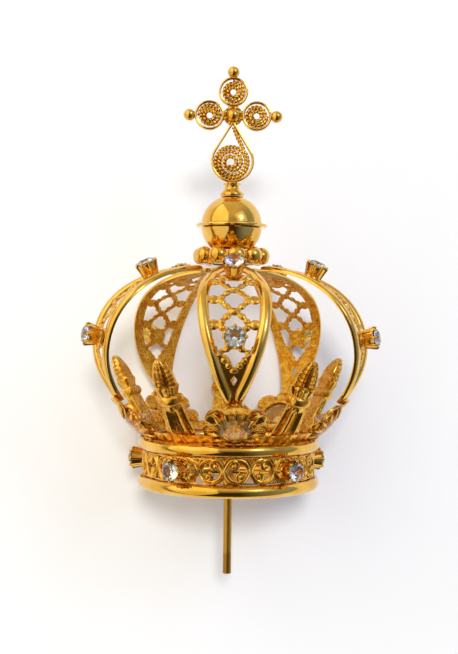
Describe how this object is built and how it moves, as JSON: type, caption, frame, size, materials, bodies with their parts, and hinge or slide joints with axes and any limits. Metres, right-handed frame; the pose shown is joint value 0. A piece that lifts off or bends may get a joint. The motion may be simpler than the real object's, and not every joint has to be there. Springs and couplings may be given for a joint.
{
  "type": "statue crown",
  "caption": "Gilt crown for a statue: pierced ring with cut stones, cresting of flowers and buds, leaf arches, beaded ring, orb, filigree cross and a fixing rod; lying on its back.",
  "frame": {"origin": "centre of the bounding box's bottom face, under the crown as it lies on its back", "axes": "+Y is close to the crown's own up direction, from the rod towards the cross, raised by the lean at rest; +Z is the side that the picture shows as the front; +X is to its right"},
  "size_m": [0.0818, 0.1394, 0.0774],
  "materials": {
    "gold": "polished yellow gilding",
    "rod_brass": "plain, browned",
    "crystal": "clear faceted"
  },
  "bodies": {
    "root": {"crossbar": "gold", "rod": "rod_brass", "lower_ring": "gold", "upper_ring": "gold", "scroll_band": "gold", "cresting": "gold", "arch_1": "gold", "bulge_setting_1": "gold", "bulge_crystal_1": "crystal", "top_setting_1": "gold", "top_crystal_1": "crystal", "flower_crystal_1": "crystal", "band_setting_1": "gold", "band_crystal_1": "crystal", "arch_2": "gold", "bulge_setting_2": "gold", "bulge_crystal_2": "crystal", "top_setting_2": "gold", "top_crystal_2": "crystal", "flower_crystal_2": "crystal", "band_setting_2": "gold", "band_crystal_2": "crystal", "arch_3": "gold", "bulge_setting_3": "gold", "bulge_crystal_3": "crystal", "top_setting_3": "gold", "top_crystal_3": "crystal", "flower_crystal_3": "crystal", "band_setting_3": "gold", "band_crystal_3": "crystal", "arch_4": "gold", "bulge_setting_4": "gold", "bulge_crystal_4": "crystal", "top_setting_4": "gold", "top_crystal_4": "crystal", "flower_crystal_4": "crystal", "band_setting_4": "gold", "band_crystal_4": "crystal", "arch_5": "gold", "bulge_setting_5": "gold", "bulge_crystal_5": "crystal", "top_setting_5": "gold", "top_crystal_5": "crystal", "flower_crystal_5": "crystal", "band_setting_5": "gold", "band_crystal_5": "crystal", "bead_ring": "gold", "orb_bowl": "gold", "orb_dome": "gold", "finial_collar": "gold", "cross": "gold"}
  },
  "joints": []
}
